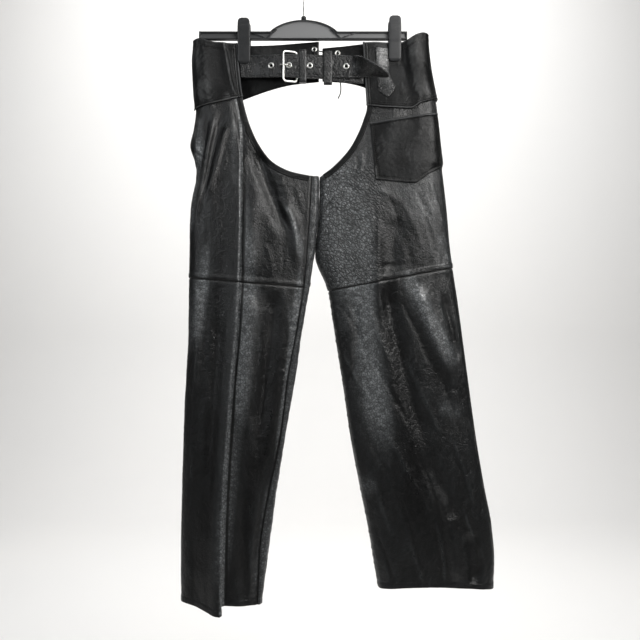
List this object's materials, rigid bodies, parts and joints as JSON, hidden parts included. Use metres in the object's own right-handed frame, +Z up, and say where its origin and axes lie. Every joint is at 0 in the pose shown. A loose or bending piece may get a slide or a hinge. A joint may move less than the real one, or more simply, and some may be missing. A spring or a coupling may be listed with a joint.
{
  "type": "leather chaps on a clip hanger",
  "caption": "Black leather chaps hung flat by the waist from a clip hanger: open seat and front, joined yokes, buckled belt, one patch pocket, laced back, empty legs.",
  "frame": {"origin": "Inner top of the hanger's hook, where a rail carries it.", "axes": "+Z up, the garment's front faces -Y, +X to the viewer's right seen from the front, which is the wearer's left."},
  "size_m": [0.5636, 0.0765, 1.1491],
  "materials": {
    "grained": "soft black grained leather with a light sheen",
    "smooth": "smoother black leather, dull",
    "belt": "firm black strap leather, edge stitched",
    "lace": "thin black leather thong",
    "nickel": "bright nickel plating",
    "plastic": "dark moulded plastic"
  },
  "bodies": {
    "root": {"thigh_front_right": "grained", "thigh_front_left": "grained", "shin_front_right": "grained", "shin_front_left": "grained", "thigh_back_right": "grained", "thigh_back_left": "grained", "shin_back_right": "grained", "shin_back_left": "grained", "inseam_band_right": "grained", "yoke_right": "smooth", "yoke_left": "smooth", "back_yoke_right": "smooth", "back_yoke_left": "smooth", "edge_strip_right": "smooth", "edge_strip_left": "smooth", "pocket": "smooth", "tab": "belt", "belt_billet": "belt", "buckle_strap": "belt", "keeper_1": "belt", "keeper_2": "belt", "lace": "lace", "belt_eyelet_1": "nickel", "belt_eyelet_2": "nickel", "belt_eyelet_3": "nickel", "belt_eyelet_4": "nickel", "belt_eyelet_5": "nickel", "lace_eyelet_1": "nickel", "lace_eyelet_2": "nickel", "lace_eyelet_3": "nickel", "lace_eyelet_4": "nickel", "lace_eyelet_5": "nickel", "lace_eyelet_6": "nickel", "buckle_frame": "nickel", "buckle_prong": "nickel", "hanger_hook": "nickel", "hanger_body": "plastic", "hanger_collar": "plastic", "clip_right_front_jaw": "plastic", "clip_right_back_jaw": "plastic", "clip_right_bridge": "plastic", "clip_left_front_jaw": "plastic", "clip_left_back_jaw": "plastic", "clip_left_bridge": "plastic"}
  },
  "joints": []
}
